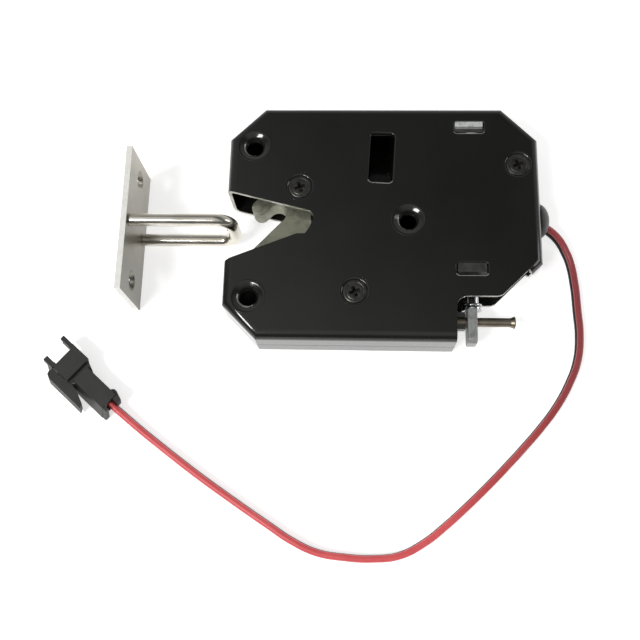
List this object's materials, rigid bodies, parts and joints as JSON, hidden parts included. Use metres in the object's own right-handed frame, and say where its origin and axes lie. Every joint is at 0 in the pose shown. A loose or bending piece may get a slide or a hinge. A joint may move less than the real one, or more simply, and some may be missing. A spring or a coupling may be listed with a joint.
{
  "type": "solenoid lock",
  "caption": "Solenoid cabinet lock with a rotary latch fork in an open-ended steel case, a manual release rod, a two-wire lead with plug and a looped keeper.",
  "frame": {"origin": "middle of the case's back face, on the surface it lies on", "axes": "+Z out of the front face, +X from the keeper's side to the cable's side, +Y from the release's side to the far long side"},
  "size_m": [0.1378, 0.1155, 0.02],
  "materials": {
    "black_paint": "semi-gloss black powder paint on steel sheet",
    "turned_steel": "turned, zinc plated",
    "black_screw": "black oxide",
    "zinc_fork": "zinc plated with a yellowish green passivation",
    "zinc_steel": "bright zinc plated",
    "spring_wire": "drawn spring steel",
    "nickel_rod": "nickel plated",
    "bright_steel": "polished steel",
    "bobbin_nylon": "natural nylon",
    "copper_winding": "enamelled copper wire",
    "red_insulation": "soft PVC insulation",
    "black_insulation": "soft PVC insulation",
    "black_rubber": "moulded rubber",
    "black_nylon": "moulded nylon",
    "tinned_brass": "stamped brass",
    "strike_steel": "nickel plated, brushed"
  },
  "bodies": {
    "lock": {"front_case": "black_paint", "back_case": "black_paint", "fork_post": "turned_steel", "lever_post": "turned_steel", "rear_post": "turned_steel", "cover_screws": "black_screw", "fork_spring": "spring_wire", "lever_spring": "spring_wire", "solenoid_yoke": "zinc_steel", "coil_bobbin": "bobbin_nylon", "coil_winding": "copper_winding", "fixed_core": "turned_steel", "coil_leads": "red_insulation", "cable_grommet": "black_rubber", "red_wire": "red_insulation", "black_wire": "black_insulation", "connector_housing": "black_nylon", "connector_pins": "tinned_brass"},
    "fork": {"latch_fork": "zinc_fork"},
    "lever": {"pawl_lever": "zinc_steel", "release_rod": "nickel_rod"},
    "plunger": {"plunger": "turned_steel", "plunger_shaft": "bright_steel", "retaining_clip": "bright_steel", "stop_washer": "bright_steel", "pull_tongue": "zinc_steel"},
    "strike": {"strike_plate": "strike_steel", "keeper_bar": "strike_steel"}
  },
  "joints": [
    {"name": "fork_turn", "type": "hinge", "parent": "lock", "child": "fork", "pos_m": [-0.0212, 0.0087, 0.007], "axis": [0, 0, 1], "range_deg": [0, 43], "stiffness_Nm_per_rad": 0.02},
    {"name": "lever_turn", "type": "hinge", "parent": "lock", "child": "lever", "pos_m": [-0.0068, -0.01925, 0.007], "axis": [0, 0, 1], "range_deg": [-6, 1.5], "stiffness_Nm_per_rad": 0.03},
    {"name": "plunger_slide", "type": "slide", "parent": "lock", "child": "plunger", "axis": [0, 1, 0], "range_m": [-0.0031, 0.00077]},
    {"name": "keeper_slide", "type": "slide", "parent": "lock", "child": "strike", "axis": [1, 0, 0], "range_m": [-0.015, 0.0065]}
  ],
  "couplings": [
    {"joint": "lever_turn", "follows": "plunger_slide", "rad_per_m": 33.7}
  ]
}
